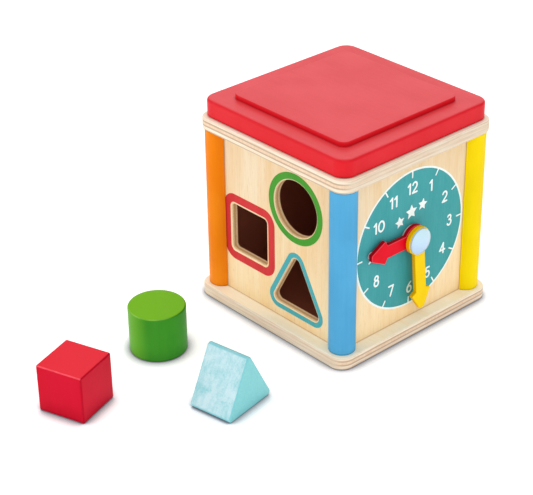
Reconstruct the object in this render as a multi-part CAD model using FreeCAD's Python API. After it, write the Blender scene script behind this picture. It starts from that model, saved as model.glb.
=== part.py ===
import FreeCAD, Part
import math
import os

# Wooden shape-sorter box with a play clock and three loose blocks.
# Millimetres. Origin: middle of the base's underside. +Z up, -Y the sorter side, +X the clock side.

V = FreeCAD.Vector
X_AXIS, Y_AXIS, Z_AXIS = V(1, 0, 0), V(0, 1, 0), V(0, 0, 1)

# ---- box ----
BASE_SIDE = 150.0
FRAME_SIDE = 146.0
PLY_T = 9.2                      # base plate and top frame, plywood
PLATE_CORNER_R = 10.0
PLATE_EDGE_R = 1.0
WALL_H = 124.2                   # height of the panels and posts
FRAME_Z0 = PLY_T + WALL_H
FRAME_Z1 = FRAME_Z0 + PLY_T
MOUTH_SIDE = 104.0               # square opening in the top frame
MOUTH_CORNER_R = 8.0

# ---- posts and panels ----
POST_R = 9.4
POST_AT = 62.5                   # post centre from the box centre, both ways
PANEL_T = 5.0
PANEL_FACE = 64.7                # outer face of each panel from the box centre
PANEL_W = 115.0
SLOT_PLAY = 0.05                 # each side of a panel in its groove
SLOT_END = PANEL_W / 2 + 0.1     # how far out the grooves reach
LIP_GAP = 0.45                   # the grooves' outer lips stand this far off the panel's face
LIP_GAP_W = 1.6                  # and keep that gap for this far in from where post and panel meet
POST_END_R = 0.4

# ---- screws: four through the base and four through the top frame ----
SCREW_R = 1.75
SCREW_HEAD_R = 3.6
SCREW_HEAD_H = 2.6
SCREW_L = 30.0
SCREW_TIP = 3.5
SCREW_SINK = 0.3                 # head lies this far below the board's face
SCREW_HOLE_R = 1.95
PILOT_R = 1.8
PILOT_DEPTH = 26.0
SINK_PLAY = 0.25
RECESS_ARM, RECESS_W, RECESS_D = 3.6, 0.8, 1.2

# ---- lid ----
LID_SIDE = 141.0
LID_SHIFT = V(-0.7, 0.7, 0)      # the lid lies a little off centre, within its play in the mouth
LID_T = 13.2
LID_CORNER_R = 10.0
LID_TOP_R = 2.2
LID_BOTTOM_R = 0.8
RAISED_SIDE = 110.0
RAISED_SHIFT = V(0.1, -0.7, 0)
RAISED_T = 3.6
RAISED_CORNER_R = 6.0
RAISED_TOP_R = 0.9
PLUG_SIDE = MOUTH_SIDE - 1.8     # 0.9 mm of play each side
PLUG_T = 4.0
PLUG_CORNER_R = 7.5
PLUG_EDGE_R = 0.8

# ---- cut-outs in the sorter panel: position across (x) and up (z) ----
HOLE_EDGE_R = 0.8
SQUARE_AT = (-28.7, 62.0)
SQUARE_SIDE = 36.6
SQUARE_CORNER_R = 3.0
ROUND_AT = (18.7, 100.8)
ROUND_R = 20.8
TRI_AT = (19.0, 24.4)            # middle of the base of the triangle of corner centres
TRI_HALF_W = 18.1
TRI_H = 33.4
TRI_CORNER_R = 4.1

# ---- clock: stations are distances out from the clock panel's face ----
HUB_Z = 73.7
SHOULDER_R = 3.0
THREAD_R = 2.5
RUN_PLAY = 0.06
BACK_WASHER = (0.0, 1.6)
HOUR_HAND = (1.8, 4.8)
MID_WASHER = (5.0, 5.6)
MINUTE_HAND = (5.8, 8.8)
BOLT_HEAD = (9.0, 11.8)
BOLT_HEAD_R = 4.8
CAP = (9.0, 13.6)
CAP_R = 9.5
CAP_SIDE = 1.2
CAP_PLAY = 0.05
WASHER_R = 9.0
MID_WASHER_R = 8.0
HAND_HUB_R = 10.3
HAND_SHAFT_W = 10.0
HAND_HEAD_W = 18.4
HAND_HEAD_L = 13.2
HAND_BARB = 1.8                  # how far the head's back edges slope forward
HAND_TIP_W = 4.5
HAND_EDGE_R = 0.6
HOUR_HAND_L = 42.0
HOUR_HAND_TURN = 89.7            # degrees anticlockwise from twelve, seen from outside
MINUTE_HAND_L = 55.5
MINUTE_HAND_TURN = 185.3
INNER_WASHER_R = 7.5
INNER_WASHER_T = 1.2
NUT_ACROSS = 8.0
NUT_T = 4.0
NUT_COLLAR_R = 3.6
NUT_COLLAR_T = 1.2
BOLT_END = 1.0                   # thread showing past the nut

# ---- blocks: middle of each on the floor, and its turn about +Z in degrees ----
BLOCK_EDGE_R = 1.4
CUBE_SIDE = 35.4
CUBE_AT, CUBE_TURN = (-19.8, -226.4), 19.5
CYLINDER_R = 20.2
CYLINDER_H = 34.5
CYLINDER_AT = (-36.2, -144.0)
PRISM_W, PRISM_H, PRISM_L = 47.0, 43.4, 33.0     # before its edges are rounded
PRISM_AT, PRISM_TURN = (46.9, -150.0), 10.5
PRISM_LONG_EDGE_R = 2.8          # so that it passes the hole's round corners
PRISM_END_EDGE_R = 0.9

SQUARE_SIGNS = ((-1, -1), (1, -1), (1, 1), (-1, 1))


def centred_box(side_x, side_y, z0, z1):
    return Part.makeBox(side_x, side_y, z1 - z0, V(-side_x / 2, -side_y / 2, z0))


def cylinder(radius, z0, z1, at=(0.0, 0.0)):
    return Part.makeCylinder(radius, z1 - z0, V(at[0], at[1], z0), Z_AXIS)


def corner_edges(shape, side):
    """The four upright edges of a square block of that side."""
    half = side / 2
    return [e for e in shape.Edges
            if all(abs(abs(v.X) - half) < 1e-6 and abs(abs(v.Y) - half) < 1e-6 for v in e.Vertexes)
            and abs(e.Vertexes[0].Z - e.Vertexes[1].Z) > 1e-6]


def edges_at_height(shape, z):
    return [e for e in shape.Edges if all(abs(v.Z - z) < 1e-6 for v in e.Vertexes)]


def rounded_plate(side, z0, z1, corner_r, top_r=0.0, bottom_r=0.0):
    """A square board with round corners and softened upper and lower edges."""
    plate = centred_box(side, side, z0, z1)
    plate = plate.makeFillet(corner_r, corner_edges(plate, side))
    if top_r:
        plate = plate.makeFillet(top_r, edges_at_height(plate, z1))
    if bottom_r:
        plate = plate.makeFillet(bottom_r, edges_at_height(plate, z0))
    return plate


def rounded_loop(points, radius):
    """Face in the XY plane: the convex polygon of points (anticlockwise), grown outwards by radius."""
    edges = []
    count = len(points)
    for i in range(count):
        before, here, after = points[i - 1], points[i], points[(i + 1) % count]
        normals = []
        for a, b in ((before, here), (here, after)):
            along = (b - a).normalize()
            normals.append(V(along.y, -along.x, 0))
        start, end = here + normals[0] * radius, here + normals[1] * radius
        middle = here + (normals[0] + normals[1]).normalize() * radius
        edges.append(Part.Arc(start, middle, end).toShape())
        along = (after - here).normalize()
        normal = V(along.y, -along.x, 0)
        edges.append(Part.makeLine(here + normal * radius, after + normal * radius))
    return Part.Face(Part.Wire(edges))


def stand_up(shape):
    """Turns a panel drawn flat (x across, y up, z out) so that it stands facing -Y."""
    shape.rotate(V(0, 0, 0), X_AXIS, 90)
    return shape


def to_clock_side(shape, station):
    """Puts a piece drawn flat (x to the right, y up, z out) on the clock panel at its station."""
    stand_up(shape)
    shape.rotate(V(0, 0, 0), Z_AXIS, 90)
    shape.translate(V(PANEL_FACE + station, 0, HUB_Z))
    return shape


# ---- screws ----
def wood_screw():
    """Countersunk screw, head face up at z = 0, tip down."""
    profile = Part.makePolygon([
        V(0, 0, 0), V(SCREW_HEAD_R, 0, 0), V(SCREW_HEAD_R, 0, -0.4),
        V(SCREW_R, 0, -SCREW_HEAD_H), V(SCREW_R, 0, SCREW_TIP - SCREW_L),
        V(0, 0, -SCREW_L), V(0, 0, 0)])
    screw = Part.Face(profile).revolve(V(0, 0, 0), Z_AXIS, 360)
    for size in ((RECESS_ARM, RECESS_W), (RECESS_W, RECESS_ARM)):
        screw = screw.cut(centred_box(size[0], size[1], -RECESS_D, 1.0))
    return screw


def screw_hole():
    """What a screw's head and shank take out of a board, head face up at z = 0."""
    wide = SCREW_HEAD_R + SINK_PLAY
    sink = Part.makeCone(SCREW_HOLE_R, wide, SCREW_HEAD_H, V(0, 0, -SCREW_HEAD_H - 0.3), Z_AXIS)
    mouth = cylinder(wide, -0.3, 1.0)
    return cylinder(SCREW_HOLE_R, -PLY_T - 1.0, 0.0).fuse([sink, mouth])


def at_each_post(shape, z, face_up):
    copies = []
    for sx, sy in SQUARE_SIGNS:
        copy = shape.copy()
        if not face_up:
            copy.rotate(V(0, 0, 0), X_AXIS, 180)
        copy.translate(V(sx * POST_AT, sy * POST_AT, z))
        copies.append(copy)
    return copies


frame_screws = at_each_post(wood_screw(), FRAME_Z1 - SCREW_SINK, True)
base_screws = at_each_post(wood_screw(), SCREW_SINK, False)

# ---- base plate and top frame ----
base_plate = rounded_plate(BASE_SIDE, 0.0, PLY_T, PLATE_CORNER_R, PLATE_EDGE_R, PLATE_EDGE_R)
base_plate = base_plate.cut(at_each_post(screw_hole(), SCREW_SINK, False))

top_frame = rounded_plate(FRAME_SIDE, FRAME_Z0, FRAME_Z1, PLATE_CORNER_R, PLATE_EDGE_R, PLATE_EDGE_R)
top_frame = top_frame.cut(rounded_plate(MOUTH_SIDE, FRAME_Z0 - 1, FRAME_Z1 + 1, MOUTH_CORNER_R))
top_frame = top_frame.cut(at_each_post(screw_hole(), FRAME_Z1 - SCREW_SINK, True))


# ---- corner posts: one is drawn at (+x, -y) and turned to the other corners ----
def corner_post():
    post = cylinder(POST_R, PLY_T, FRAME_Z0, (POST_AT, -POST_AT))
    rims = [e for e in post.Edges if len(e.Vertexes) == 1]
    post = post.makeFillet(POST_END_R, rims)
    inner, outer = PANEL_FACE - PANEL_T - SLOT_PLAY, PANEL_FACE + SLOT_PLAY
    reach = POST_AT - POST_R - 1.0
    slot_h = WALL_H + 2.0
    groove_y = Part.makeBox(SLOT_END - reach, outer - inner, slot_h, V(reach, -outer, PLY_T - 1))
    groove_x = Part.makeBox(outer - inner, SLOT_END - reach, slot_h, V(inner, -SLOT_END, PLY_T - 1))
    meets = POST_AT - math.sqrt(POST_R ** 2 - (POST_AT - PANEL_FACE) ** 2)
    lip_y = Part.makeBox(meets + LIP_GAP_W - reach, LIP_GAP, slot_h, V(reach, -outer - LIP_GAP, PLY_T - 1))
    lip_x = Part.makeBox(LIP_GAP, meets + LIP_GAP_W - reach, slot_h,
                         V(outer, -meets - LIP_GAP_W, PLY_T - 1))
    pilots = [cylinder(PILOT_R, PLY_T - 1, PLY_T + PILOT_DEPTH, (POST_AT, -POST_AT)),
              cylinder(PILOT_R, FRAME_Z0 - PILOT_DEPTH, FRAME_Z0 + 1, (POST_AT, -POST_AT))]
    return post.cut([groove_y, groove_x, lip_y, lip_x] + pilots)


def turned_about_box(shape, degrees):
    copy = shape.copy()
    copy.rotate(V(0, 0, 0), Z_AXIS, degrees)
    return copy


post = corner_post()


# ---- panels ----
def plain_panel():
    """Drawn flat: x across, y up, outer face at z = 0, then stood up facing -Y."""
    board = Part.makeBox(PANEL_W, WALL_H, PANEL_T, V(-PANEL_W / 2, PLY_T, -PANEL_T))
    stand_up(board)
    board.translate(V(0, -PANEL_FACE, 0))
    return board


def soften_outer_rims(panel):
    """Rounds the rims of the cut-outs, which are the outer-face edges away from the panel's outline."""
    def inside(vertex):
        return (abs(vertex.Y + PANEL_FACE) < 1e-6 and abs(vertex.X) < PANEL_W / 2 - 0.5
                and PLY_T + 0.5 < vertex.Z < FRAME_Z0 - 0.5)
    rims = [e for e in panel.Edges if all(inside(v) for v in e.Vertexes)]
    return panel.makeFillet(HOLE_EDGE_R, rims)


def cut_through(panel, flat_face):
    cutter = flat_face.extrude(V(0, 0, PANEL_T + 2))
    stand_up(cutter)
    cutter.translate(V(0, -PANEL_FACE + PANEL_T + 1, 0))
    return panel.cut(cutter)


half = SQUARE_SIDE / 2 - SQUARE_CORNER_R
square_points = [V(SQUARE_AT[0] + sx * half, SQUARE_AT[1] + sy * half, 0) for sx, sy in SQUARE_SIGNS]
tri_points = [V(TRI_AT[0] - TRI_HALF_W, TRI_AT[1], 0), V(TRI_AT[0] + TRI_HALF_W, TRI_AT[1], 0),
              V(TRI_AT[0], TRI_AT[1] + TRI_H, 0)]
round_face = Part.Face(Part.Wire(Part.makeCircle(ROUND_R, V(ROUND_AT[0], ROUND_AT[1], 0))))

sorter_panel = plain_panel()
for outline in (rounded_loop(square_points, SQUARE_CORNER_R),
                rounded_loop(tri_points, TRI_CORNER_R), round_face):
    sorter_panel = cut_through(sorter_panel, outline)
sorter_panel = soften_outer_rims(sorter_panel)

clock_panel = turned_about_box(plain_panel(), 90)
axle_bore = Part.makeCylinder(THREAD_R + RUN_PLAY, PANEL_T + 2,
                              V(PANEL_FACE - PANEL_T - 1, 0, HUB_Z), X_AXIS)
clock_panel = clock_panel.cut(axle_bore)


# ---- clock hub and hands, drawn flat and moved to the clock side ----
def ring(outer_r, inner_r, stations):
    z0, z1 = stations
    piece = cylinder(outer_r, 0, z1 - z0).cut(cylinder(inner_r, -1, z1 - z0 + 1))
    return to_clock_side(piece, z0)


def arrow_hand(length, turn, stations):
    """A round hub, a straight shaft and an arrow head, pointing to twelve before it is turned."""
    thick = stations[1] - stations[0]
    neck = length - HAND_HEAD_L - HAND_BARB
    base = length - HAND_HEAD_L
    right = [V(HAND_SHAFT_W / 2, 0, 0), V(HAND_SHAFT_W / 2, neck, 0), V(HAND_HEAD_W / 2, base, 0),
             V(HAND_TIP_W / 2, length, 0)]
    left = [V(-p.x, p.y, 0) for p in reversed(right)]
    arrow = Part.Face(Part.makePolygon(right + left + [right[0]])).extrude(V(0, 0, thick))
    hand = arrow.fuse(cylinder(HAND_HUB_R, 0, thick)).removeSplitter()
    upright = [e for e in hand.Edges if len(e.Vertexes) == 2
               and abs(e.Vertexes[0].Z - e.Vertexes[1].Z) > thick / 2]
    tips = [e for e in upright if e.Vertexes[0].Y > base - 1]
    hand = hand.makeFillet(1.2, tips)
    hand = hand.makeFillet(HAND_EDGE_R, edges_at_height(hand, thick))
    hand = hand.cut(cylinder(SHOULDER_R + RUN_PLAY, -1, thick + 1))
    hand.rotate(V(0, 0, 0), Z_AXIS, turn)
    return to_clock_side(hand, stations[0])


def hub_bolt():
    """Shoulder bolt: low round head, shoulder for the hands, thinner thread through the panel."""
    inside = PANEL_T + INNER_WASHER_T + NUT_T + BOLT_END
    head_h = BOLT_HEAD[1] - BOLT_HEAD[0]
    head = cylinder(BOLT_HEAD_R, BOLT_HEAD[0], BOLT_HEAD[1])
    head = head.makeFillet(head_h * 0.4, [e for e in edges_at_height(head, BOLT_HEAD[1])
                                          if len(e.Vertexes) == 1])
    shoulder = cylinder(SHOULDER_R, BACK_WASHER[1], BOLT_HEAD[0])
    thread = cylinder(THREAD_R, -inside, BACK_WASHER[1])
    thread = thread.makeChamfer(0.5, [e for e in edges_at_height(thread, -inside)
                                      if len(e.Vertexes) == 1])
    return to_clock_side(head.fuse([shoulder, thread]).removeSplitter(), 0.0)


def domed_cap():
    """A button with a short straight side and a domed face, hollow behind for the bolt's head."""
    tall = CAP[1] - CAP[0]
    rise = tall - CAP_SIDE
    sphere_r = (CAP_R ** 2 + rise ** 2) / (2 * rise)
    half_angle = math.asin(CAP_R / sphere_r) / 2
    mid = V(sphere_r * math.sin(half_angle), 0, tall - sphere_r * (1 - math.cos(half_angle)))
    edges = [Part.makeLine(V(0, 0, 0), V(CAP_R, 0, 0)),
             Part.makeLine(V(CAP_R, 0, 0), V(CAP_R, 0, CAP_SIDE)),
             Part.Arc(V(CAP_R, 0, CAP_SIDE), mid, V(0, 0, tall)).toShape(),
             Part.makeLine(V(0, 0, tall), V(0, 0, 0))]
    cap = Part.Face(Part.Wire(edges)).revolve(V(0, 0, 0), Z_AXIS, 360)
    pocket = cylinder(BOLT_HEAD_R + CAP_PLAY, -1, BOLT_HEAD[1] - BOLT_HEAD[0] + CAP_PLAY)
    return to_clock_side(cap.cut(pocket), CAP[0])


def lock_nut():
    """Hexagon with a round locking collar, on the thread inside the box."""
    across_corners = NUT_ACROSS / math.cos(math.pi / 6) / 2
    corners = [V(across_corners * math.cos(math.radians(60 * i)),
                 across_corners * math.sin(math.radians(60 * i)), 0) for i in range(7)]
    hexagon = Part.Face(Part.makePolygon(corners)).extrude(V(0, 0, NUT_T - NUT_COLLAR_T))
    collar = cylinder(NUT_COLLAR_R, -NUT_COLLAR_T, 0)
    nut = hexagon.fuse(collar).removeSplitter()
    nut = nut.cut(cylinder(THREAD_R + CAP_PLAY, -NUT_T, NUT_T))
    return to_clock_side(nut, -PANEL_T - INNER_WASHER_T - (NUT_T - NUT_COLLAR_T))


# ---- loose blocks ----
def set_down(shape, at, turn=0.0):
    shape.rotate(V(0, 0, 0), Z_AXIS, turn)
    shape.translate(V(at[0], at[1], 0))
    return shape


cube = centred_box(CUBE_SIDE, CUBE_SIDE, 0, CUBE_SIDE)
cube = set_down(cube.makeFillet(BLOCK_EDGE_R, cube.Edges), CUBE_AT, CUBE_TURN)

round_block = cylinder(CYLINDER_R, 0, CYLINDER_H)
rims = [e for e in round_block.Edges if len(e.Vertexes) == 1]
round_block = set_down(round_block.makeFillet(BLOCK_EDGE_R, rims), CYLINDER_AT)

end_face = Part.Face(Part.makePolygon([V(-PRISM_L / 2, -PRISM_W / 2, 0), V(-PRISM_L / 2, PRISM_W / 2, 0),
                                       V(-PRISM_L / 2, 0, PRISM_H), V(-PRISM_L / 2, -PRISM_W / 2, 0)]))
prism = end_face.extrude(V(PRISM_L, 0, 0))
prism = prism.makeFillet(PRISM_LONG_EDGE_R, [e for e in prism.Edges
                                             if abs(e.Vertexes[0].X - e.Vertexes[1].X) > 1])
prism = prism.makeFillet(PRISM_END_EDGE_R, [e for e in prism.Edges
                                            if abs(e.Vertexes[0].X - e.Vertexes[1].X) < 1e-6])
prism = set_down(prism, PRISM_AT, PRISM_TURN)

# ---- every node ----
lid_z0 = FRAME_Z1
raised_z0 = lid_z0 + LID_T
lid_board = rounded_plate(LID_SIDE, lid_z0, raised_z0, LID_CORNER_R, LID_TOP_R, LID_BOTTOM_R)
lid_raised_panel = rounded_plate(RAISED_SIDE, raised_z0, raised_z0 + RAISED_T, RAISED_CORNER_R,
                                 RAISED_TOP_R)
lid_locating_board = rounded_plate(PLUG_SIDE, lid_z0 - PLUG_T, lid_z0, PLUG_CORNER_R, 0.0,
                                   PLUG_EDGE_R)
for board in (lid_board, lid_locating_board):
    board.translate(LID_SHIFT)
lid_raised_panel.translate(RAISED_SHIFT)
nodes = {
    "base_plate": base_plate,
    "top_frame": top_frame,
    "post_front_left": turned_about_box(post, -90),
    "post_front_right": post,
    "post_back_right": turned_about_box(post, 90),
    "post_back_left": turned_about_box(post, 180),
    "sorter_panel": sorter_panel,
    "clock_panel": clock_panel,
    "back_panel": turned_about_box(plain_panel(), 180),
    "side_panel": turned_about_box(plain_panel(), -90),
    "base_screws": Part.makeCompound(base_screws),
    "frame_screws": Part.makeCompound(frame_screws),
    "lid_board": lid_board,
    "lid_raised_panel": lid_raised_panel,
    "lid_locating_board": lid_locating_board,
    "hub_back_washer": ring(WASHER_R, THREAD_R + RUN_PLAY, BACK_WASHER),
    "hour_hand": arrow_hand(HOUR_HAND_L, HOUR_HAND_TURN, HOUR_HAND),
    "hub_middle_washer": ring(MID_WASHER_R, SHOULDER_R + RUN_PLAY, MID_WASHER),
    "minute_hand": arrow_hand(MINUTE_HAND_L, MINUTE_HAND_TURN, MINUTE_HAND),
    "hub_bolt": hub_bolt(),
    "hub_cap": domed_cap(),
    "hub_inner_washer": ring(INNER_WASHER_R, THREAD_R + RUN_PLAY,
                             (-PANEL_T - INNER_WASHER_T, -PANEL_T)),
    "hub_lock_nut": lock_nut(),
    "square_block": cube,
    "round_block": round_block,
    "triangle_block": prism,
}

os.makedirs("parts", exist_ok=True)
for name, shape in nodes.items():
    if not shape.isValid() or shape.Volume <= 0:
        raise RuntimeError("bad solid: " + name)
    shape.exportStep("parts/" + name + ".step")
    box = shape.BoundBox
    print("%-20s %d solid(s) %9.0f mm3  x %.2f..%.2f y %.2f..%.2f z %.2f..%.2f" % (
        name, len(shape.Solids), shape.Volume, box.XMin, box.XMax, box.YMin, box.YMax,
        box.ZMin, box.ZMax))
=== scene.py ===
import math

import bmesh
import bpy
from mathutils import Matrix, Vector
from mathutils.geometry import delaunay_2d_cdt


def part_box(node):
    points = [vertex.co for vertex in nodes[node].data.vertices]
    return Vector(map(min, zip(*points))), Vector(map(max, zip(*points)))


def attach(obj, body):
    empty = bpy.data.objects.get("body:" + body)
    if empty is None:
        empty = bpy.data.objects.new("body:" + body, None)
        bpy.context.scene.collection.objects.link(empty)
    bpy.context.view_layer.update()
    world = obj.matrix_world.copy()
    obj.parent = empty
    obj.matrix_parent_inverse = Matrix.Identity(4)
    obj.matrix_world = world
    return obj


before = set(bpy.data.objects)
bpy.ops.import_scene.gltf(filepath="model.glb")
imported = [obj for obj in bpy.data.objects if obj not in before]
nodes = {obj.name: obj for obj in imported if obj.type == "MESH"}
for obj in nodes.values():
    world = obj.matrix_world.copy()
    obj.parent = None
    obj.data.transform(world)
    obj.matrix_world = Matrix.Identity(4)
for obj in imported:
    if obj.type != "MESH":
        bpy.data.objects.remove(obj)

MM = 0.001
X, Y, Z = 0, 1, 2
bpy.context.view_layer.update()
scene = bpy.context.scene


# ---------------------------------------------------------------- material helpers
class Shader:
    """Builds one material: every method adds a node and returns its output socket."""

    def __init__(self, name):
        self.mat = bpy.data.materials.new(name)
        self.mat.use_nodes = True
        self.tree = self.mat.node_tree
        self.bsdf = self.tree.nodes["Principled BSDF"]
        self.co = self.node("ShaderNodeTexCoord").outputs["Object"]
        self.normal = self.node("ShaderNodeNewGeometry").outputs["Normal"]
        self.x, self.y, self.z = self.split(self.co)

    def node(self, kind, **settings):
        made = self.tree.nodes.new(kind)
        for key, value in settings.items():
            setattr(made, key, value)
        return made

    def put(self, socket, value):
        if isinstance(value, bpy.types.NodeSocket):
            self.tree.links.new(value, socket)
        elif isinstance(value, tuple) and socket.type == "RGBA":
            socket.default_value = (*value[:3], 1.0)
        else:
            socket.default_value = value

    def math(self, op, *values):
        made = self.node("ShaderNodeMath", operation=op)
        for socket, value in zip(made.inputs, values):
            self.put(socket, value)
        return made.outputs[0]

    def vector(self, op, a, b):
        made = self.node("ShaderNodeVectorMath", operation=op)
        self.put(made.inputs[0], a)
        self.put(made.inputs[1], b)
        return made.outputs["Value" if op == "DOT_PRODUCT" else "Vector"]

    def split(self, vector):
        made = self.node("ShaderNodeSeparateXYZ")
        self.put(made.inputs[0], vector)
        return made.outputs

    def noise(self, scale, detail=3.0, rough=0.55, distort=0.0, seed=0.0):
        """Noise over the object; scale is one number, or one for each axis."""
        if not isinstance(scale, tuple):
            scale = (scale,) * 3
        made = self.node("ShaderNodeTexNoise")
        shifted = self.vector("ADD", self.co, (seed, seed * 0.7, seed * 1.3))
        self.put(made.inputs["Vector"], self.vector("MULTIPLY", shifted, scale))
        self.put(made.inputs["Scale"], 1.0)
        self.put(made.inputs["Detail"], detail)
        self.put(made.inputs["Roughness"], rough)
        self.put(made.inputs["Distortion"], distort)
        return made.outputs["Fac"]

    def smooth(self, value, low, high, out_low=0.0, out_high=1.0):
        """An eased step from out_low at low to out_high at high."""
        if low > high:
            low, high, out_low, out_high = high, low, out_high, out_low
        made = self.node("ShaderNodeMapRange", interpolation_type="SMOOTHSTEP")
        for key, v in (("Value", value), ("From Min", low), ("From Max", high),
                       ("To Min", out_low), ("To Max", out_high)):
            self.put(made.inputs[key], v)
        return made.outputs["Result"]

    def mix(self, factor, a, b):
        made = self.node("ShaderNodeMix", data_type="RGBA")
        self.put(made.inputs[0], factor)
        self.put(made.inputs[6], a)
        self.put(made.inputs[7], b)
        return made.outputs[2]

    def bump(self, height, distance, strength=0.35):
        made = self.node("ShaderNodeBump")
        made.inputs["Strength"].default_value = strength
        made.inputs["Distance"].default_value = distance
        self.put(made.inputs["Height"], height)
        return made.outputs["Normal"]

    def scaled(self, colour, factor):
        """A colour made lighter or darker."""
        made = self.node("ShaderNodeVectorMath", operation="SCALE")
        self.put(made.inputs[0], colour)
        self.put(made.inputs["Scale"], factor)
        return made.outputs["Vector"]

    def blend(self, weights_and_values):
        """Weighted sum of values."""
        total = 0.0
        for weight, value in weights_and_values:
            total = self.math("MULTIPLY_ADD", value, weight, total)
        return total

    def set(self, **values):
        for key, value in values.items():
            self.put(self.bsdf.inputs[key.replace("_", " ")], value)
        return self.mat


def srgb(r, g, b):
    """Linear colour from 0..255 display values."""
    def one(c):
        c /= 255.0
        return c / 12.92 if c <= 0.04045 else ((c + 0.055) / 1.055) ** 2.4
    return (one(r), one(g), one(b))


def along(grain, across, length):
    """Noise scales that give streaks along one axis."""
    scale = [across] * 3
    scale[grain] = length
    return tuple(scale)


FLAT_COSINE, ROUNDED_COSINE = 0.985, 0.86        # of the angle between a normal and the nearest flat face


def rounded_edges(s, flats, round_side=False):
    """1 on rounded edges, 0 on flat faces, whose normals are flats, and on an upright round side."""
    nearest = -1.0
    for flat in flats:
        nearest = s.math("MAXIMUM", s.vector("DOT_PRODUCT", s.normal, tuple(flat)), nearest)
    if round_side:
        upright = s.math("SQRT", s.math("SUBTRACT", 1.0, s.math("POWER", s.split(s.normal)[Z], 2.0)))
        nearest = s.math("MAXIMUM", upright, nearest)
    return s.smooth(nearest, FLAT_COSINE, ROUNDED_COSINE)


def apart(s, axis_value, planes):
    """Distance along one axis to the nearest of some planes."""
    nearest = 1.0
    for plane in planes:
        gap = s.math("ABSOLUTE", s.math("SUBTRACT", axis_value, plane))
        nearest = s.math("MINIMUM", gap, nearest)
    return nearest


def off_square(s, low, high, corner=0.0):
    """Signed distance outwards from a square outline with round corners, given a box's two corners."""
    middle, half = (low + high) / 2, (high.x - low.x) / 2 - corner
    reach = [s.math("SUBTRACT", s.math("ABSOLUTE", s.math("SUBTRACT", value, centre)), half)
             for value, centre in ((s.x, middle.x), (s.y, middle.y))]
    beyond = [s.math("POWER", s.math("MAXIMUM", value, 0.0), 2.0) for value in reach]
    within = s.math("MINIMUM", s.math("MAXIMUM", *reach), 0.0)
    return s.math("SUBTRACT", s.math("ADD", s.math("SQRT", s.math("ADD", *beyond)), within), corner)


# ---------------------------------------------------------------- materials
AXES = [Vector(v) for v in ((1, 0, 0), (-1, 0, 0), (0, 1, 0), (0, -1, 0), (0, 0, 1), (0, 0, -1))]

BIRCH_PALE = srgb(238, 218, 186)
BIRCH_WARM = srgb(232, 198, 150)
# The next two colours are painted light: the panels are lighter and warmer towards the base.
BIRCH_LOW_PALE = srgb(253, 228, 184)
BIRCH_LOW_WARM = srgb(250, 214, 158)
BOARD_PALE = srgb(255, 250, 232)
BOARD_WARM = srgb(255, 241, 210)
BIRCH_PORE = srgb(196, 150, 98)
BOARD_PORE = srgb(230, 198, 152)
# Painted shade for the creases where parts meet.
BIRCH_SHADE = srgb(150, 96, 52)
FACE_PLY = srgb(255, 222, 174)
CORE_PLY = srgb(230, 178, 122)
# Painted shade inside the box, and the lighter tone it fades to near the mouth.
INSIDE_PAINTED_SHADE = srgb(160, 88, 66)
INSIDE_RIM = srgb(226, 190, 144)
PLY_CREAM = srgb(250, 235, 212)
PLY_PEACH = srgb(238, 208, 176)
PLY_END_GRAIN = srgb(222, 184, 146)
GLUE_LINE = srgb(150, 122, 98)

BASE_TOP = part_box("base_plate")[1].z
FRAME_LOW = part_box("top_frame")[0].z
PANEL_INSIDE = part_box("clock_panel")[0].x
PANEL_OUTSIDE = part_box("clock_panel")[1].x
# The painted shade inside fades out from here up to the mouth.
INSIDE_DARK_TOP = 62 * MM          # the inside walls get lighter from here up to the mouth
LID_BOX, LID_CORNER_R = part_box("lid_board"), 10 * MM
RAISED_BOX, RAISED_CORNER_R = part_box("lid_raised_panel"), 6 * MM
CAP_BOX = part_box("hub_cap")


def birch_figure(s, grain, seed):
    """Rotary-cut birch: broad soft figure, fine fibres and short pores along the grain."""
    broad = s.noise(along(grain, 34.0, 6.0), 3.0, 0.5, 0.7, seed)
    figure = s.noise(along(grain, 150.0, 10.0), 4.0, 0.6, 0.4, seed)
    fibre = s.noise(along(grain, 1300.0, 40.0), 3.0, 0.6, 0.0, seed)
    pore = s.smooth(s.noise(along(grain, 2400.0, 150.0), 1.0, 0.4, 0.0, seed), 0.66, 0.74)
    return broad, figure, fibre, pore


def birch_colour(s, broad, figure, fibre, pore, pale=BIRCH_PALE, warm=BIRCH_WARM, dark=BIRCH_PORE):
    tone = s.blend(((0.5, broad), (0.5, figure)))
    colour = s.mix(s.smooth(tone, 0.36, 0.68), pale, warm)
    colour = s.mix(s.smooth(fibre, 0.45, 0.75, 0.0, 0.18), colour, dark)
    return s.mix(s.math("MULTIPLY", pore, 0.3), colour, dark)


def wood_finish(s, colour, fibre, pore, extra_depth=0.0):
    """Thin clear lacquer over open grain."""
    height = s.math("SUBTRACT", fibre, s.math("MULTIPLY", pore, 0.6))
    height = s.math("SUBTRACT", height, extra_depth)
    return s.set(Base_Color=colour, Roughness=s.smooth(fibre, 0.3, 0.8, 0.46, 0.58),
                 Normal=s.bump(height, 0.05 * MM), Specular_IOR_Level=0.22, Coat_Weight=0.0)


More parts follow.
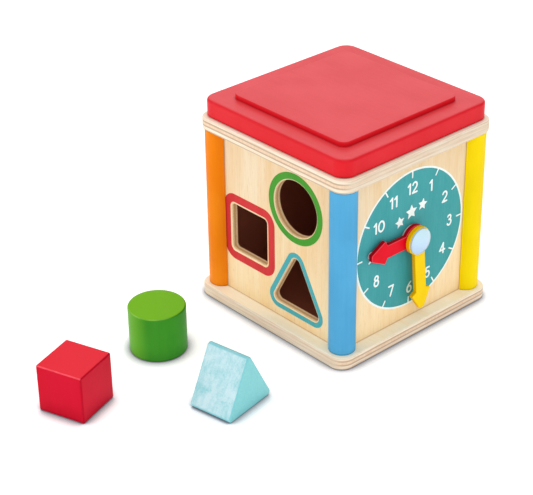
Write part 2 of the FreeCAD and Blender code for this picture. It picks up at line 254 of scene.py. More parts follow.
def birch_panel(name, out_axis, seed):
    """A wall panel: painted light making it lighter and warmer low down, painted shade at base and frame,
    plies on its cut walls, painted shade inside.
    """
    s = Shader(name)
    broad, figure, fibre, pore = birch_figure(s, Z, seed)
    # Painted light: lighter and warmer towards the base.
    height = s.smooth(s.z, BASE_TOP, FRAME_LOW)
    pale = s.mix(height, BIRCH_LOW_PALE, BIRCH_PALE)
    warm = s.mix(height, BIRCH_LOW_WARM, BIRCH_WARM)
    colour = birch_colour(s, broad, figure, fibre, pore, pale, warm)
    reach = s.math("MAXIMUM", s.math("ABSOLUTE", s.x), s.math("ABSOLUTE", s.y))
    depth = s.math("DIVIDE", s.math("SUBTRACT", PANEL_OUTSIDE, reach), PANEL_OUTSIDE - PANEL_INSIDE)
    off_middle = s.math("ABSOLUTE", s.math("SUBTRACT", depth, 0.5))
    plies = s.mix(s.smooth(off_middle, 0.14, 0.20), CORE_PLY, FACE_PLY)
    plies = s.mix(s.smooth(s.noise(1100.0, 2.0, 0.7), 0.35, 0.75, 0.0, 0.4), plies, BIRCH_PORE)
    facing = s.math("ABSOLUTE", s.split(s.normal)[out_axis])
    colour = s.mix(s.smooth(facing, 0.75, 0.45), colour, plies)
    # Painted shade along the creases at the base and the frame.
    meeting = apart(s, s.z, (BASE_TOP, FRAME_LOW))
    colour = s.mix(s.smooth(meeting, 1.0 * MM, 0.2 * MM, 0.0, 0.4), colour, BIRCH_SHADE)
    # Inner faces get painted shade, darkest low down.
    inside = s.smooth(reach, PANEL_INSIDE + 0.4 * MM, PANEL_INSIDE)
    inside_painted_shade = s.mix(s.smooth(s.z, INSIDE_DARK_TOP, FRAME_LOW), INSIDE_PAINTED_SHADE, INSIDE_RIM)
    return wood_finish(s, s.mix(inside, colour, inside_painted_shade), fibre, pore)


def locating_board(name, grain, seed):
    s = Shader(name)
    broad, figure, fibre, pore = birch_figure(s, grain, seed)
    return wood_finish(s, birch_colour(s, broad, figure, fibre, pore), fibre, pore)


def square_outline(half):
    return Vector((-half, -half, 0)), Vector((half, half, 0))


INNER_OUTLINE = square_outline(PANEL_INSIDE)
PANEL_OUTLINE = square_outline(PANEL_OUTSIDE)
GLUE_LEVELS = (0.07, 0.41, 0.75)     # heights of the glue lines in a board, from 0 below to 1 above


def plywood(name, node, grain, seed, bold_axis, rim):
    """Birch face veneers, and edges with glue lines between plies, boldest on two of the sides.
    rim is the outline of what stands on the board, its corner radius, and the strength of the painted shade
    there."""
    s = Shader(name)
    low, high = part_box(node)
    broad, figure, fibre, pore = birch_figure(s, grain, seed)
    face = birch_colour(s, broad, figure, fibre, pore, BOARD_PALE, BOARD_WARM, BOARD_PORE)
    wobble = s.math("MULTIPLY_ADD", s.noise(55.0, 2.0, seed=seed), 0.05, -0.025)
    level = s.math("DIVIDE", s.math("SUBTRACT", s.z, low.z), high.z - low.z)
    level = s.math("ADD", level, wobble)
    lines = 0.0
    for glue_level in GLUE_LEVELS:
        gap = s.math("ABSOLUTE", s.math("SUBTRACT", level, glue_level))
        lines = s.math("MAXIMUM", s.smooth(gap, 0.10, 0.02), lines)
    normal = s.split(s.normal)
    bold = s.smooth(s.math("ABSOLUTE", normal[bold_axis]), 0.1, 0.9, 0.25, 1.0)
    cross_ply = s.math("MULTIPLY", s.smooth(level, GLUE_LEVELS[1] - 0.03, GLUE_LEVELS[1] + 0.03),
                       s.smooth(level, GLUE_LEVELS[2] + 0.03, GLUE_LEVELS[2] - 0.03))
    specks = s.noise((900.0, 900.0, 420.0), 2.0, 0.7)
    streaks = s.noise((45.0, 45.0, 1400.0), 3.0)
    long_ply = s.mix(s.smooth(streaks, 0.35, 0.7), PLY_CREAM, PLY_PEACH)
    end_ply = s.mix(s.smooth(specks, 0.3, 0.7), PLY_PEACH, PLY_END_GRAIN)
    edge = s.mix(s.math("MULTIPLY", cross_ply, s.math("MULTIPLY", bold, 0.7)), long_ply, end_ply)
    edge = s.mix(s.math("MULTIPLY", lines, s.math("MULTIPLY", bold, 0.6)), edge, GLUE_LINE)
    # The edges of the other two sides are also darker overall: painted shade.
    edge = s.scaled(edge, s.math("MULTIPLY_ADD", bold, 0.18, 0.82))
    side = s.smooth(s.math("ABSOLUTE", normal[Z]), 0.85, 0.60)
    colour = s.mix(side, face, edge)
    # Painted shade on the top face round what stands on the board.
    low_corner, high_corner, corner, strength = rim
    gap = s.math("ABSOLUTE", off_square(s, low_corner, high_corner, corner))
    painted_shade_mask = s.math("MULTIPLY", s.smooth(gap, 0.8 * MM, 0.1 * MM, 0.0, strength), s.smooth(normal[Z], 0.5, 0.9))
    colour = s.mix(painted_shade_mask, colour, BIRCH_SHADE)
    # Inner faces below the frame get painted shade.
    reach = off_square(s, *INNER_OUTLINE)
    inside = s.math("MULTIPLY", s.smooth(reach, 0.4 * MM, 0.0), s.smooth(s.z, FRAME_LOW, FRAME_LOW - 1 * MM))
    colour = s.mix(inside, colour, INSIDE_PAINTED_SHADE)
    return wood_finish(s, colour, fibre, pore, s.math("MULTIPLY", s.math("MULTIPLY", side, lines), 1.2))


def paint(name, light, dark, grain, seed=0.0, rough=0.36, coat=0.0, shine=0.3, painted_shade_lines=()):
    """Toy paint sprayed on sanded wood: a trace of the grain in tone and relief.
    The last argument lists painted shade along meeting lines: (distance from a meeting line, width, strength,
    colour)."""
    s = Shader(name)
    cloud = s.noise(30.0, 3.0, 0.5, 0.0, seed)
    streak = s.noise(along(grain, 380.0, 16.0), 4.0, 0.6, 0.2, seed)
    fine = s.noise(along(grain, 2000.0, 90.0), 2.0, 0.6, 0.0, seed)
    peel = s.noise(900.0, 2.0, 0.5, 0.0, seed)
    tone = s.blend(((0.65, cloud), (0.25, streak), (0.1, fine)))
    colour = s.mix(s.smooth(tone, 0.34, 0.66), light, dark)
    # Painted shade along each meeting line.
    for gap, width, strength, shade in painted_shade_lines:
        painted_shade_mask = s.smooth(gap(s), width, 0.1 * MM, 0.0, strength)
        colour = s.mix(painted_shade_mask, colour, shade)
    height = s.blend(((0.6, streak), (0.35, fine), (0.3, peel)))
    roughness = s.smooth(s.blend(((0.5, cloud), (0.5, fine))), 0.3, 0.7, rough - 0.04, rough + 0.06)
    return s, colour, s.set(Base_Color=colour, Roughness=roughness, Normal=s.bump(height, 0.05 * MM),
                            Specular_IOR_Level=shine, Coat_Weight=coat, Coat_Roughness=0.18)


def post_paint(name, light, dark, seed):
    # Painted shade where the posts meet the base and the frame.
    ends = ((lambda s: apart(s, s.z, (BASE_TOP, FRAME_LOW)), 1.4 * MM, 0.6, tuple(c * 0.45 for c in dark)),)
    return paint(name, light, dark, Z, seed, rough=0.42, shine=0.07, painted_shade_lines=ends)[2]


# Painted shade for the lid's creases.
LID_SHADE = srgb(160, 4, 18)


def lid_paint(name, seed, painted_shade_lines):
    """Satin red, with painted light on the faces that look up: a little brighter and milkier there."""
    s, colour, material = paint(name, srgb(224, 26, 40), srgb(218, 18, 32), X, seed, rough=0.42, shine=0.15,
                                painted_shade_lines=painted_shade_lines)
    # Painted sheen: faces that look up are lighter and milkier.
    facing_up = s.smooth(s.split(s.normal)[Z], 0.7, 0.95)
    painted_sheen = s.mix(0.05, s.scaled(colour, 1.12), (1.0, 1.0, 1.0))
    s.put(s.bsdf.inputs["Base Color"], s.mix(facing_up, colour, painted_sheen))
    return material


# Round blocks get painted light on the side facing this way.
BLOCK_LEFT = (-0.66, -0.75, 0.0)                 # the left, as seen from the box's front corner
# The painted edge highlight on blocks faces this way.
LIT_EDGE = tuple(Vector((0.24, -0.67, 0.7)).normalized())        # above and in front


def block_paint(name, light, dark, top, edge, flats, seed, painted_lit_side=None):
    """Glossier paint, another tone on the faces that look up, a painted highlight along the lit rounded edges
    and painted shade along the others.
    The last argument is painted light on the left of a round side."""
    s, colour, material = paint(name, light, dark, Z, seed, rough=0.36, coat=0.1, shine=0.05)
    # Painted light on the left of a round side.
    if painted_lit_side:
        leftward = s.vector("DOT_PRODUCT", s.normal, BLOCK_LEFT)
        colour = s.mix(s.smooth(leftward, 0.2, 0.85), colour, painted_lit_side)
    # Painted shade: darker towards the floor.
    colour = s.scaled(colour, s.smooth(s.z, 0.0, 15 * MM, 0.86, 1.0))
    colour = s.mix(s.smooth(s.split(s.normal)[Z], 0.7, 0.95), colour, top)
    edges = rounded_edges(s, flats, round_side=painted_lit_side is not None)
    # Painted highlight along the rounded edges that face the light, a little patchy, with a stronger coat
    # there; painted shade along the other edges.
    lit = s.smooth(s.vector("DOT_PRODUCT", s.normal, LIT_EDGE), 0.6, 0.98)
    patchy = s.smooth(s.noise(160.0, 3.0), 0.3, 0.6, 0.5, 0.9)
    painted_highlight = s.math("MULTIPLY", s.math("MULTIPLY", edges, lit), patchy)
    unlit = s.math("MULTIPLY", edges, s.math("SUBTRACT", 1.0, lit))
    colour = s.scaled(colour, s.math("MULTIPLY_ADD", unlit, -0.22, 1.0))
    s.put(s.bsdf.inputs["Base Color"], s.mix(painted_highlight, colour, edge))
    s.put(s.bsdf.inputs["Coat Weight"], s.math("MULTIPLY_ADD", painted_highlight, 0.5, 0.02))
    return material


def turned(flats, degrees):
    """The normals of a block's flat faces once it is turned about the vertical."""
    return [Matrix.Rotation(math.radians(degrees), 3, "Z") @ v for v in flats]


def washed_prism(name, flats, ends):
    """A milky coat brushed over turquoise: blotchy on the long faces, plain on the ends and edges."""
    s = Shader(name)
    blotch = s.noise(75.0, 4.0, 0.65, 0.5)
    brush = s.noise((420.0, 120.0, 120.0), 4.0, 0.7, 0.4)
    fine = s.noise(900.0, 3.0, 0.6)
    tone = s.blend(((0.5, blotch), (0.3, brush), (0.2, fine)))
    face = s.mix(s.smooth(tone, 0.38, 0.62), srgb(142, 206, 212), srgb(198, 228, 233))
    end = s.mix(s.smooth(fine, 0.3, 0.7), srgb(128, 208, 210), srgb(118, 200, 203))
    on_end = 0.0
    for flat in ends:
        on_end = s.math("MAXIMUM", s.vector("DOT_PRODUCT", s.normal, tuple(flat)), on_end)
    colour = s.mix(s.smooth(on_end, 0.6, 0.9), face, end)
    edge = s.math("MULTIPLY", rounded_edges(s, flats), s.smooth(brush, 0.3, 0.6, 0.4, 0.85))
    colour = s.mix(edge, colour, srgb(118, 204, 212))
    height = s.blend(((0.6, brush), (0.4, fine)))
    return s.set(Base_Color=colour, Roughness=s.smooth(brush, 0.3, 0.7, 0.30, 0.42),
                 Normal=s.bump(height, 0.06 * MM), Specular_IOR_Level=0.35, Coat_Weight=0.2,
                 Coat_Roughness=0.2)


def printed(name, colour, shade, seed=0.0):
    """Screen-printed ink on lacquered birch: even, with a trace of grain and pinholes."""
    s = Shader(name)
    cloud = s.noise(along(Z, 70.0, 12.0), 3.0, seed=seed)
    grainy = s.noise(along(Z, 1400.0, 70.0), 3.0, 0.65, seed=seed)
    speck = s.noise(1500.0, 2.0, 0.6, seed=seed)
    tone = s.blend(((0.45, cloud), (0.3, grainy), (0.25, speck)))
    return s.set(Base_Color=s.mix(s.smooth(tone, 0.36, 0.64), colour, shade),
                 Roughness=s.smooth(grainy, 0.3, 0.7, 0.48, 0.60), Normal=s.bump(grainy, 0.03 * MM),
                 Specular_IOR_Level=0.2)


def moulded(name, colour, shade, side, rough=0.34, shine=0.3, coat=0.0, rim=None, upper=None):
    """Moulded plastic: faint flow marks, fine mottle, another colour on the thin sides for their painted
    light and shade, and a painted highlight on the rim.
    upper is painted light towards the top, with the heights between which it comes in."""
    s = Shader(name)
    flow = s.noise(55.0, 3.0)
    fine = s.noise(1800.0, 2.0)
    base = s.mix(s.smooth(flow, 0.3, 0.7), colour, shade)
    if upper:
        # Painted light towards the top.
        base = s.mix(s.smooth(s.z, *upper[1:]), base, upper[0])
    outward = s.math("ABSOLUTE", s.split(s.normal)[X])
    # Painted light and shade on the thin sides.
    base = s.mix(s.smooth(outward, 0.75, 0.25), base, side)
    if rim:
        # Painted highlight along the rim.
        painted_rim_highlight = s.math("MULTIPLY", s.smooth(outward, 0.99, 0.93), s.smooth(outward, 0.3, 0.6))
        base = s.mix(s.math("MULTIPLY", painted_rim_highlight, 0.6), base, rim)
    return s.set(Base_Color=base, Roughness=s.smooth(fine, 0.3, 0.7, rough - 0.03, rough + 0.05),
                 Normal=s.bump(fine, 0.02 * MM), Specular_IOR_Level=shine, Coat_Weight=coat,
                 Coat_Roughness=0.15)


def steel(name):
    s = Shader(name)
    marks = s.noise((400.0, 2600.0, 2600.0), 3.0)
    cloud = s.noise(240.0, 2.0)
    return s.set(Base_Color=s.mix(s.smooth(cloud, 0.3, 0.7), (0.62, 0.62, 0.60), (0.74, 0.74, 0.73)),
                 Metallic=1.0, Roughness=s.smooth(marks, 0.3, 0.7, 0.24, 0.42),
                 Normal=s.bump(marks, 0.02 * MM))


CUBE_TURN, PRISM_TURN = 19.5, 10.5               # degrees about the vertical
PRISM_W, PRISM_H = 47.0, 43.4                    # the triangle before its edges are rounded
PRISM_SLOPE = math.atan2(PRISM_H, PRISM_W / 2)
PRISM_ENDS = [Vector((1, 0, 0)), Vector((-1, 0, 0))]
PRISM_SIDES = [Vector((0, math.sin(PRISM_SLOPE), math.cos(PRISM_SLOPE))),
               Vector((0, -math.sin(PRISM_SLOPE), math.cos(PRISM_SLOPE))), Vector((0, 0, -1))]
# Painted shade along the lid's bottom edge and round the foot of the raised panel, on the lid and on the
# panel.
LID_PAINTED_SHADE_LINES = ((lambda s: apart(s, s.z, (LID_BOX[0].z,)), 1.4 * MM, 0.85, LID_SHADE),
             (lambda s: s.math("ADD", s.math("ABSOLUTE", off_square(s, *RAISED_BOX, RAISED_CORNER_R)),
                               apart(s, s.z, (LID_BOX[1].z,))), 1.6 * MM, 0.5, LID_SHADE))
RAISED_PAINTED_SHADE_LINES = ((lambda s: apart(s, s.z, (RAISED_BOX[0].z,)), 2.6 * MM, 0.4, LID_SHADE),)
# The washers' third colour is painted shade on their thin sides.
WASHER_WHITE = srgb(236, 236, 232), srgb(226, 226, 222), srgb(214, 214, 210)

MATERIALS = {
    "base_plate": plywood("base_ply", "base_plate", X, 0.3, X, (*PANEL_OUTLINE, 0.0, 0.3)),
    "top_frame": plywood("frame_ply", "top_frame", Y, 1.9, Y, (*LID_BOX, LID_CORNER_R, 0.35)),
    "sorter_panel": birch_panel("sorter_birch", Y, 0.11),
    "clock_panel": birch_panel("clock_birch", X, 2.37),
    "back_panel": birch_panel("back_birch", Y, 4.1),
    "side_panel": birch_panel("side_birch", X, 5.3),
    "lid_locating_board": locating_board("locating_birch", X, 7.7),
    "post_front_left": post_paint("orange_paint", srgb(243, 138, 20), srgb(236, 125, 2), 0.2),
    "post_front_right": post_paint("blue_paint", srgb(86, 170, 214), srgb(78, 160, 206), 1.2),
    "post_back_right": post_paint("yellow_paint", srgb(248, 219, 0), srgb(242, 210, 0), 2.2),
    "post_back_left": post_paint("green_paint", srgb(110, 182, 60), srgb(92, 168, 50), 3.2),
    "lid_board": lid_paint("lid_red", 0.5, LID_PAINTED_SHADE_LINES),
    "lid_raised_panel": lid_paint("raised_red", 5.5, RAISED_PAINTED_SHADE_LINES),
    # The hands' third colours are painted shade on their thin sides, and the red hand's rim is a painted
    # highlight; the cap's third colour is painted light on its rim, and its upper colour is painted light
    # towards the top.
    "hour_hand": moulded("hand_red", srgb(230, 10, 38), srgb(224, 6, 32), srgb(176, 2, 20), shine=0.05,
                         rim=srgb(250, 96, 108)),
    "minute_hand": moulded("hand_yellow", srgb(250, 211, 0), srgb(246, 205, 0), srgb(244, 180, 0),
                           shine=0.05),
    "hub_cap": moulded("cap_blue", srgb(178, 202, 234), srgb(172, 198, 232), srgb(180, 208, 238),
                       rough=0.24, coat=0.3, upper=(srgb(206, 236, 248), CAP_BOX[0].z, CAP_BOX[1].z)),
    "hub_back_washer": moulded("washer_white", *WASHER_WHITE),
    "hub_middle_washer": moulded("washer_white_thin", *WASHER_WHITE),
    "base_screws": steel("screw_steel"),
    "frame_screws": steel("screw_steel_top"),
    "hub_bolt": steel("bolt_steel"),
    "hub_inner_washer": steel("washer_steel"),
    "hub_lock_nut": steel("nut_steel"),
    # After the two tones come the tone of the faces that look up and the colour of the painted edge
    # highlight; the round block's last colour is its painted light.
    "square_block": block_paint("block_red", srgb(206, 4, 42), srgb(199, 2, 36), srgb(238, 40, 56),
                                srgb(255, 84, 98), turned(AXES, CUBE_TURN), 0.9),
    "round_block": block_paint("block_green", srgb(64, 148, 38), srgb(56, 140, 36), srgb(118, 186, 10),
                               srgb(132, 194, 60), [Vector((0, 0, 1)), Vector((0, 0, -1))], 1.5,
                               srgb(98, 172, 38)),
    "triangle_block": washed_prism("block_turquoise", turned(PRISM_SIDES + PRISM_ENDS, PRISM_TURN),
                                   turned(PRISM_ENDS, PRISM_TURN)),
}
for name, material in MATERIALS.items():
    obj = nodes[name]
    obj.data.materials.clear()
    obj.data.materials.append(material)

# ---------------------------------------------------------------- printed pieces, drawn in millimetres
PRINT_T = 0.08
SORTER_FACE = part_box("sorter_panel")[0].y
HUB = (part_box("hub_back_washer")[0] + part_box("hub_back_washer")[1]) / 2


def on_sorter(u, v, out):
    """Across and up on the sorter face from the box's middle line and the floor, and out from it."""
    return Vector((u * MM, SORTER_FACE - out * MM, v * MM))


def on_clock(u, v, out):
    """Right and up from the hub as seen from outside, and out from the panel."""
    return Vector((PANEL_OUTSIDE + out * MM, u * MM, HUB.z + v * MM))


def finish_piece(bm, name, material, body="box"):
    """Makes an object of a finished mesh and lets it ride on a body."""
    bmesh.ops.recalc_face_normals(bm, faces=bm.faces)
    mesh = bpy.data.meshes.new(name)
    bm.to_mesh(mesh)
    bm.free()
    obj = bpy.data.objects.new(name, mesh)
    scene.collection.objects.link(obj)
    mesh.materials.append(material)
    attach(obj, body)


def add_band(bm, place, outer, inner, low, high):
    """A closed flat band between two loops of equal count."""
    rings = [[bm.verts.new(place(u, v, out)) for u, v in loop]
             for loop, out in ((outer, low), (outer, high), (inner, high), (inner, low))]
    for a, b in zip(rings, rings[1:] + rings[:1]):
        for i in range(len(a)):
            bm.faces.new((a[i - 1], a[i], b[i], b[i - 1]))


def goes_round(polygon, x, y):
    """Whether the polygon winds round the point, whichever way it is drawn."""
    turns = 0
    for (ax, ay), (bx, by) in zip(polygon, polygon[1:] + polygon[:1]):
        side = (bx - ax) * (y - ay) - (x - ax) * (by - ay)
        if ay <= y < by and side > 0:
            turns += 1
        elif by <= y < ay and side < 0:
            turns -= 1
    return turns != 0


def add_slab(bm, place, polygons, low, high):
    """One closed flat slab: the union of polygons that may cross each other."""
    points, edges = [], []
    for polygon in polygons:
        first, count = len(points), len(polygon)
        points.extend(Vector(p) for p in polygon)
        edges.extend((first + i, first + (i + 1) % count) for i in range(count))
    verts, _, triangles, *_ = delaunay_2d_cdt(points, edges, [], 0, 1e-4)
    kept = []
    for triangle in triangles:
        middle = sum((verts[i] for i in triangle), Vector((0, 0))) / 3
        if any(goes_round(polygon, *middle) for polygon in polygons):
            kept.append(triangle)
    lower, upper = {}, {}
    for i in {i for triangle in kept for i in triangle}:
        lower[i] = bm.verts.new(place(*verts[i], low))
        upper[i] = bm.verts.new(place(*verts[i], high))
    borders = set()
    for triangle in kept:
        bm.faces.new([upper[i] for i in triangle])
        bm.faces.new([lower[i] for i in reversed(triangle)])
        for a, b in zip(triangle, triangle[1:] + triangle[:1]):
            borders ^= {(a, b)} if (b, a) not in borders else {(b, a)}
    for a, b in borders:
        bm.faces.new((lower[a], lower[b], upper[b], upper[a]))


def arc(cx, cy, radius, start, end, steps=20, up=None):
    """Points on an arc in degrees; up is a second radius, for an ellipse."""
    up = radius if up is None else up
    angles = [math.radians(start + (end - start) * i / steps) for i in range(steps + 1)]
    return [(cx + radius * math.cos(a), cy + up * math.sin(a)) for a in angles]


def circle(cx, cy, radius, count=180):
    return arc(cx, cy, radius, 0, 360 - 360 / count, count - 1)


def stroke(path, width):
    """Outline of a round-ended pen stroke along a path."""
    half = width / 2
    left, right = [], []
    for i, (x, y) in enumerate(path):
        ax, ay = path[max(i - 1, 0)]
        bx, by = path[min(i + 1, len(path) - 1)]
        length = math.hypot(bx - ax, by - ay)
        nx, ny = (ay - by) / length * half, (bx - ax) / length * half
        left.append((x + nx, y + ny))
        right.append((x - nx, y - ny))

    def end(centre, start):
        begin = math.atan2(start[1] - centre[1], start[0] - centre[0])
        return [(centre[0] + half * math.cos(begin - math.pi * k / 8),
                 centre[1] + half * math.sin(begin - math.pi * k / 8)) for k in range(1, 8)]
    return left + end(path[-1], left[-1]) + right[::-1] + end(path[0], right[0])


def rounded_outline(corners, radius, steps=14):
    """The polygon of corner centres, anticlockwise, grown outwards by radius with round corners."""
    loop = []
    for i, here in enumerate(corners):
        before, after = corners[i - 1], corners[(i + 1) % len(corners)]
        start = math.degrees(math.atan2(before[0] - here[0], here[1] - before[1]))
        end = math.degrees(math.atan2(here[0] - after[0], after[1] - here[1]))
        loop += arc(*here, radius, start, end + (360 if end < start else 0), steps)
    return loop


def print_ring(name, outer, inner, material):
    ring = bmesh.new()
    add_band(ring, on_sorter, outer, inner, 0, PRINT_T)
    finish_piece(ring, name, material)


# The corners are the centres of round corners, whose radii give each ring its inner and outer edge.
SQUARE_X, SQUARE_Z, SQUARE_HALF = -28.7, 62.0, 15.3
SQUARE_CORNERS = [(SQUARE_X + SQUARE_HALF * sx, SQUARE_Z + SQUARE_HALF * sz)
                  for sx, sz in ((-1, -1), (1, -1), (1, 1), (-1, 1))]
SQUARE_INNER_R, SQUARE_OUTER_R = 4.6, 11.0
TRIANGLE_CORNERS = [(0.9, 24.4), (37.1, 24.4), (19.0, 57.8)]
TRIANGLE_INNER_R, TRIANGLE_OUTER_R = 5.0, 8.8
ROUND_CENTRE = (18.7, 100.8)
ROUND_INNER_R, ROUND_OUTER_R = 21.6, 26.5
print_ring("printed_ring_square", rounded_outline(SQUARE_CORNERS, SQUARE_OUTER_R),
           rounded_outline(SQUARE_CORNERS, SQUARE_INNER_R),
           printed("ink_red", srgb(214, 46, 50), srgb(204, 38, 42), 0.4))
print_ring("printed_ring_triangle", rounded_outline(TRIANGLE_CORNERS, TRIANGLE_OUTER_R),
           rounded_outline(TRIANGLE_CORNERS, TRIANGLE_INNER_R),
           printed("ink_turquoise", srgb(74, 172, 178), srgb(64, 164, 172), 1.4))
print_ring("printed_ring_round", circle(*ROUND_CENTRE, ROUND_OUTER_R), circle(*ROUND_CENTRE, ROUND_INNER_R),
           printed("ink_green", srgb(66, 152, 38), srgb(58, 144, 32), 2.4))

# ---------------------------------------------------------------- clock face, from the hub in millimetres
DIAL = (0.0, -1.5)                # middle of the printed disc, from the hub
DISC_R, OUTLINE_R, DISC_HOLE_R = 51.5, 52.7, 9.2
NUMBERS_AT, NUMBERS_R = (0.5, -1.7), 38.9
TICK_R0, TICK_R1, TICK_W = 47.0, 51.8, 1.1
OUTLINE_LAP = 0.2                 # the white outline lies this far over the disc
OUTLINE_T = PRINT_T * 1.6
DIGIT_H, DIGIT_W, PEN_W, DIGIT_GAP = 7.7, 6.6, 1.4, 2.4

teal = printed("ink_teal", srgb(66, 161, 165), srgb(54, 152, 154), 3.1)
white = printed("ink_white", srgb(244, 250, 246), srgb(236, 244, 240), 4.1)
disc = bmesh.new()
add_band(disc, on_clock, circle(*DIAL, DISC_R), circle(0, 0, DISC_HOLE_R), 0, PRINT_T)
finish_piece(disc, "printed_clock_disc", teal)
outline = bmesh.new()
add_band(outline, on_clock, circle(*DIAL, OUTLINE_R), circle(*DIAL, DISC_R - OUTLINE_LAP), 0, OUTLINE_T)
finish_piece(outline, "printed_clock_outline", white)

# Pen paths of the digits, in DIGIT_W across and DIGIT_H up, and how wide each digit is in DIGIT_W.
GLYPH_WIDTH = {"0": 0.78, "1": 0.28, "2": 0.66, "3": 0.62, "4": 0.78, "5": 0.64, "6": 0.66, "7": 0.66,
               "8": 0.64, "9": 0.66}
GLYPHS = {
    "0": [arc(0.39, 0.5, 0.39, 0, 185, 16, 0.5), arc(0.39, 0.5, 0.39, 180, 365, 16, 0.5)],
    "1": [[(0.0, 0.80), (0.28, 1.0)], [(0.28, 1.0), (0.28, 0.0)]],
    "2": [arc(0.33, 0.69, 0.31, 160, -38, 14) + [(0.02, 0.0)], [(0.02, 0.0), (0.66, 0.0)]],
    "3": [arc(0.30, 0.76, 0.24, 150, -92, 14), arc(0.30, 0.27, 0.29, 92, -152, 16)],
    "4": [[(0.54, 1.0), (0.0, 0.30)], [(0.0, 0.30), (0.78, 0.30)], [(0.54, 1.0), (0.54, 0.0)]],
    "5": [[(0.58, 1.0), (0.14, 1.0)], [(0.14, 1.0), (0.09, 0.56)], arc(0.32, 0.31, 0.31, 138, -150, 16)],
    "6": [[(0.55, 1.0), (0.38, 0.90), (0.20, 0.73), (0.07, 0.54), (0.02, 0.33)],
          arc(0.33, 0.31, 0.31, 0, 185, 14), arc(0.33, 0.31, 0.31, 180, 365, 14)],
    "7": [[(0.0, 1.0), (0.66, 1.0)], [(0.66, 1.0), (0.24, 0.0)]],
    "8": [arc(0.32, 0.76, 0.24, 0, 185, 12), arc(0.32, 0.76, 0.24, 180, 365, 12),
          arc(0.32, 0.27, 0.30, 0, 185, 14), arc(0.32, 0.27, 0.30, 180, 365, 14)],
}
GLYPHS["9"] = [[(GLYPH_WIDTH["9"] - x, 1.0 - y) for x, y in path] for path in GLYPHS["6"]]


def clock_number(text, cx, cy):
    """Pen strokes of a number centred on a point of the dial."""
    widths = [GLYPH_WIDTH[c] * DIGIT_W for c in text]
    x = cx - (sum(widths) + DIGIT_GAP * (len(text) - 1)) / 2
    strokes = []
    for c, width in zip(text, widths):
        for path in GLYPHS[c]:
            placed = [(x + px * DIGIT_W, cy + (py - 0.5) * DIGIT_H) for px, py in path]
            strokes.append(stroke(placed, PEN_W))
        x += width + DIGIT_GAP
    return strokes


def at_hour(centre, radius, hour):
    """The point at an hour, which may be a fraction, on a circle of the dial."""
    angle = math.radians(30 * hour)
    return centre[0] + radius * math.sin(angle), centre[1] + radius * math.cos(angle)


CROWDING = 2.3                    # degrees: the numbers stand a little nearer to twelve and six
TEN_IN = 1.4                      # the wide ten stands this much nearer the middle
numbers, ticks = bmesh.new(), bmesh.new()
for hour in range(1, 13):
    crowded = hour - CROWDING / 30 * math.sin(math.radians(60 * hour))
    x, y = at_hour(NUMBERS_AT, NUMBERS_R, crowded)
    number = clock_number(str(hour), x + (TEN_IN if hour == 10 else 0), y)
    add_slab(numbers, on_clock, number, PRINT_T, PRINT_T * 2)
    tick = stroke([at_hour(DIAL, TICK_R0, hour), at_hour(DIAL, TICK_R1, hour)], TICK_W)
    add_slab(ticks, on_clock, [tick], PRINT_T, PRINT_T * 2)
finish_piece(numbers, "printed_clock_numbers", white)
finish_piece(ticks, "printed_clock_ticks", white)


def star(cx, cy, radius, turn):
    """Five points; the hollows between them lie at half the radius."""
    angles = [math.radians(90 + turn + 36 * k) for k in range(10)]
    return [(cx + radius / (1 + k % 2) * math.cos(a), cy + radius / (1 + k % 2) * math.sin(a))
            for k, a in enumerate(angles)]


STARS = ((-11.0, 15.1, 4.6, 10), (0.2, 19.1, 5.6, 0), (11.2, 21.1, 4.6, -10))     # middle, radius, turn
stars = bmesh.new()
for cx, cy, radius, turn in STARS:
    add_slab(stars, on_clock, [star(cx, cy, radius, turn)], PRINT_T, PRINT_T * 2)
finish_piece(stars, "printed_clock_stars", white)

# ---------------------------------------------------------------- floor
FLOOR_HALF = 4.0
FLOOR_DROP = 0.1 * MM             # keeps the floor clear of what stands on it
CONTACT_REACH = 11 * MM           # how far the contact shadow spreads
floor_mesh = bpy.data.meshes.new("floor")
floor_mesh.from_pydata([(-FLOOR_HALF, -FLOOR_HALF, 0), (FLOOR_HALF, -FLOOR_HALF, 0),
                        (FLOOR_HALF, FLOOR_HALF, 0), (-FLOOR_HALF, FLOOR_HALF, 0)], [], [(0, 1, 2, 3)])
floor = bpy.data.objects.new("floor", floor_mesh)
floor.location.z = -FLOOR_DROP
scene.collection.objects.link(floor)


def paper(name):
    """White paper with a painted contact shadow close under whatever stands on it."""
    s = Shader(name)
    occlusion = s.node("ShaderNodeAmbientOcclusion", samples=16)
    occlusion.inputs["Distance"].default_value = CONTACT_REACH
    open_sky = s.smooth(occlusion.outputs["AO"], 0.35, 1.0)
    white_paper = s.mix(s.noise(300.0), (0.93, 0.93, 0.93), (0.95, 0.95, 0.95))
    return s.set(Base_Color=s.mix(open_sky, (0.27, 0.28, 0.33), white_paper), Roughness=0.8,
                 Specular_IOR_Level=0.1, Emission_Color=s.mix(open_sky, (0.05, 0.05, 0.05), (1.0, 1.0, 1.0)),
                 Emission_Strength=0.45)


floor_mesh.materials.append(paper("floor_paper"))

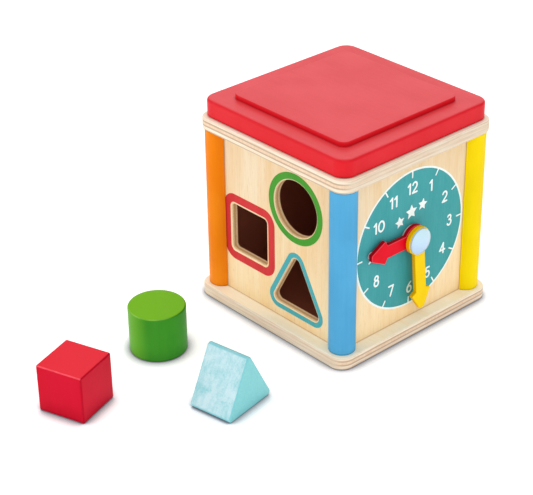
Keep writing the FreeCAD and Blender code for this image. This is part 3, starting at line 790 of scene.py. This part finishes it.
# ---------------------------------------------------------------- light
SKY_COLOUR, SKY_STRENGTH = (0.97, 0.98, 1.0, 1.0), 0.68
LIT_POINT = Vector((0.0, -0.05, 0.06))
world = bpy.data.worlds.new("studio")
scene.world = world
world.use_nodes = True
sky = world.node_tree.nodes["Background"]
sky.inputs["Color"].default_value = SKY_COLOUR
sky.inputs["Strength"].default_value = SKY_STRENGTH


def soft_light(name, at, size, watts):
    """A round area light at a place and with a width in metres, aimed at the box."""
    data = bpy.data.lights.new(name, "AREA")
    data.shape = "DISK"
    data.size = size
    data.energy = watts
    lamp = bpy.data.objects.new(name, data)
    scene.collection.objects.link(lamp)
    lamp.location = at
    lamp.rotation_euler = (LIT_POINT - lamp.location).to_track_quat("-Z", "Y").to_euler()


soft_light("key_softbox", (-0.8, -1.3, 0.75), 1.2, 5.4)
soft_light("fill_softbox", (1.0, -0.6, 1.2), 1.2, 5.5)
soft_light("back_softbox", (-0.9, 1.0, 1.0), 1.4, 5.0)

# ---------------------------------------------------------------- camera
# It looks down at the box's front corner: what it aims at, its turn about the vertical, its tilt and
# roll, and its distance in metres.
AIM = Vector((0.0044, -0.0784, 0.0706))
TURN, TILT, ROLL = math.radians(48.356), math.radians(29.779), math.radians(-0.825)
DISTANCE = 1.0863
SENSOR, LENS = 36.0, 107.49       # millimetres
forward = Vector((-math.sin(TURN) * math.cos(TILT), math.cos(TURN) * math.cos(TILT), -math.sin(TILT)))
right = Vector((math.cos(TURN), math.sin(TURN), 0.0))
up = right.cross(forward)
right, up = right * math.cos(ROLL) + up * math.sin(ROLL), up * math.cos(ROLL) - right * math.sin(ROLL)
camera_data = bpy.data.cameras.new("camera")
camera_data.sensor_width = SENSOR
camera_data.lens = LENS
camera = bpy.data.objects.new("camera", camera_data)
scene.collection.objects.link(camera)
rotation = Matrix((right, up, -forward)).transposed().to_4x4()
camera.matrix_world = Matrix.Translation(AIM - forward * DISTANCE) @ rotation
scene.camera = camera
scene.view_settings.view_transform = "Standard"
